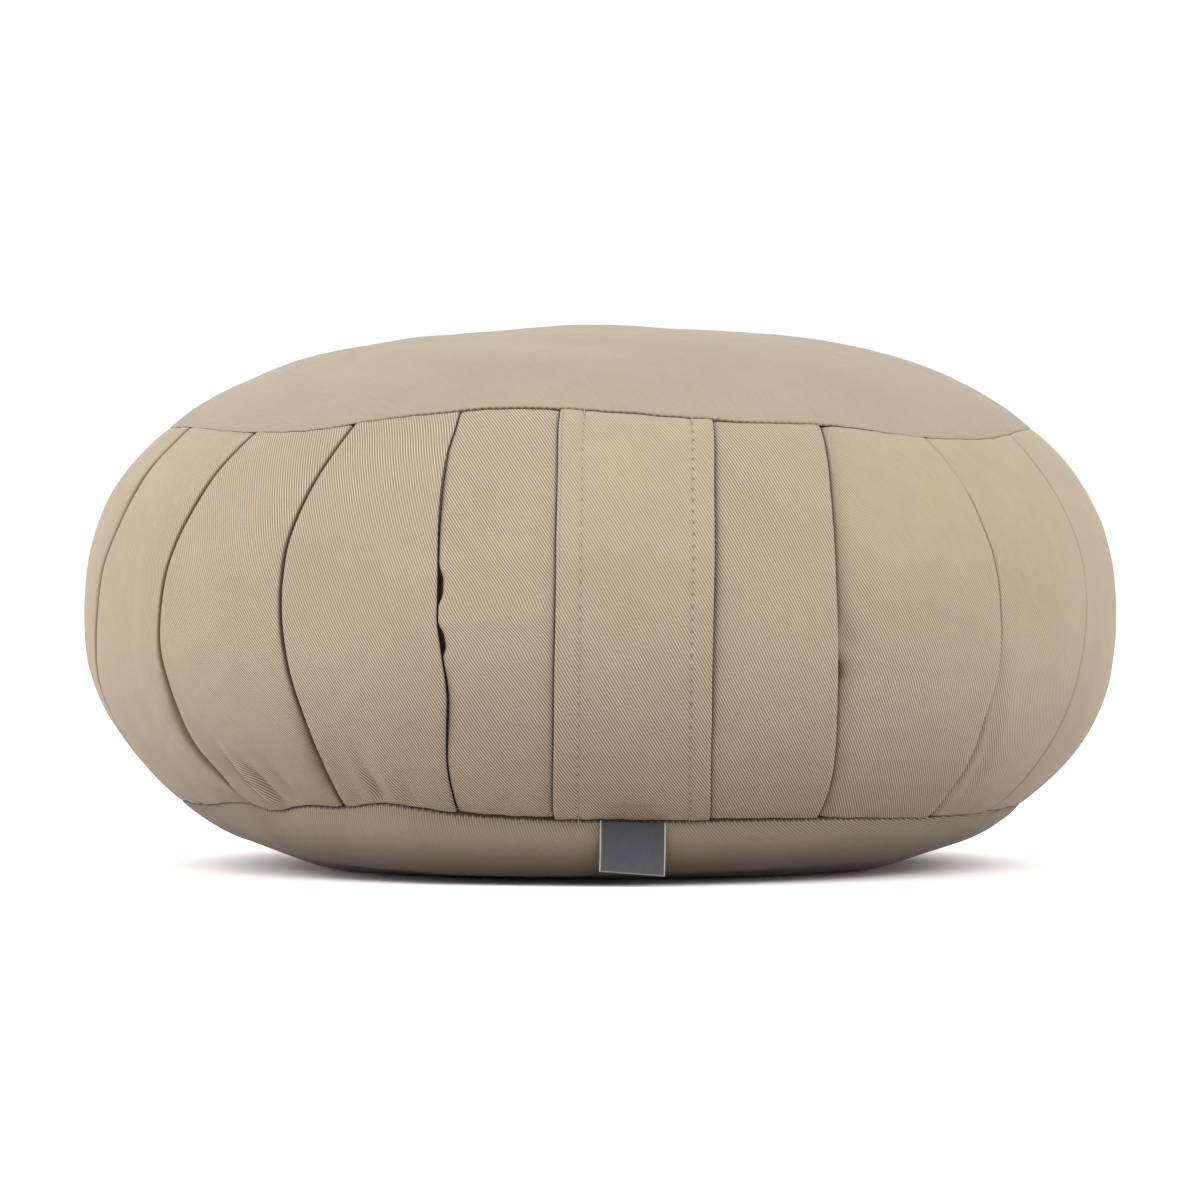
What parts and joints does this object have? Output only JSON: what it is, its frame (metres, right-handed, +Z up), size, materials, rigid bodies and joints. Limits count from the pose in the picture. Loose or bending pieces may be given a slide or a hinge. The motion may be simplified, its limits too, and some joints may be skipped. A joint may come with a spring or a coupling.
{
  "type": "zafu meditation cushion",
  "caption": "Round filled floor cushion for sitting in meditation, with a pleated side, crowned round panels and an upright topstitched strip over its opening.",
  "frame": {"origin": "under the middle of the cushion, on the surface it rests on", "axes": "+Z up, opening strip faces -Y"},
  "size_m": [0.3431, 0.3435, 0.18],
  "materials": {
    "side_twill": "matt cotton twill, khaki beige, steep diagonal rib about 0.9 mm apart",
    "top_twill": "matt cotton twill, khaki beige, as the side",
    "base_twill": "matt cotton twill, khaki beige, as the side",
    "strip_twill": "matt cotton twill, khaki beige, with a topstitched hem down each side",
    "label_weave": "close woven dark grey ribbon with pale woven edges"
  },
  "bodies": {
    "root": {"pleated_body": "side_twill", "top_panel": "top_twill", "bottom_panel": "base_twill", "opening_strip": "strip_twill", "seam_label": "label_weave"}
  },
  "joints": []
}
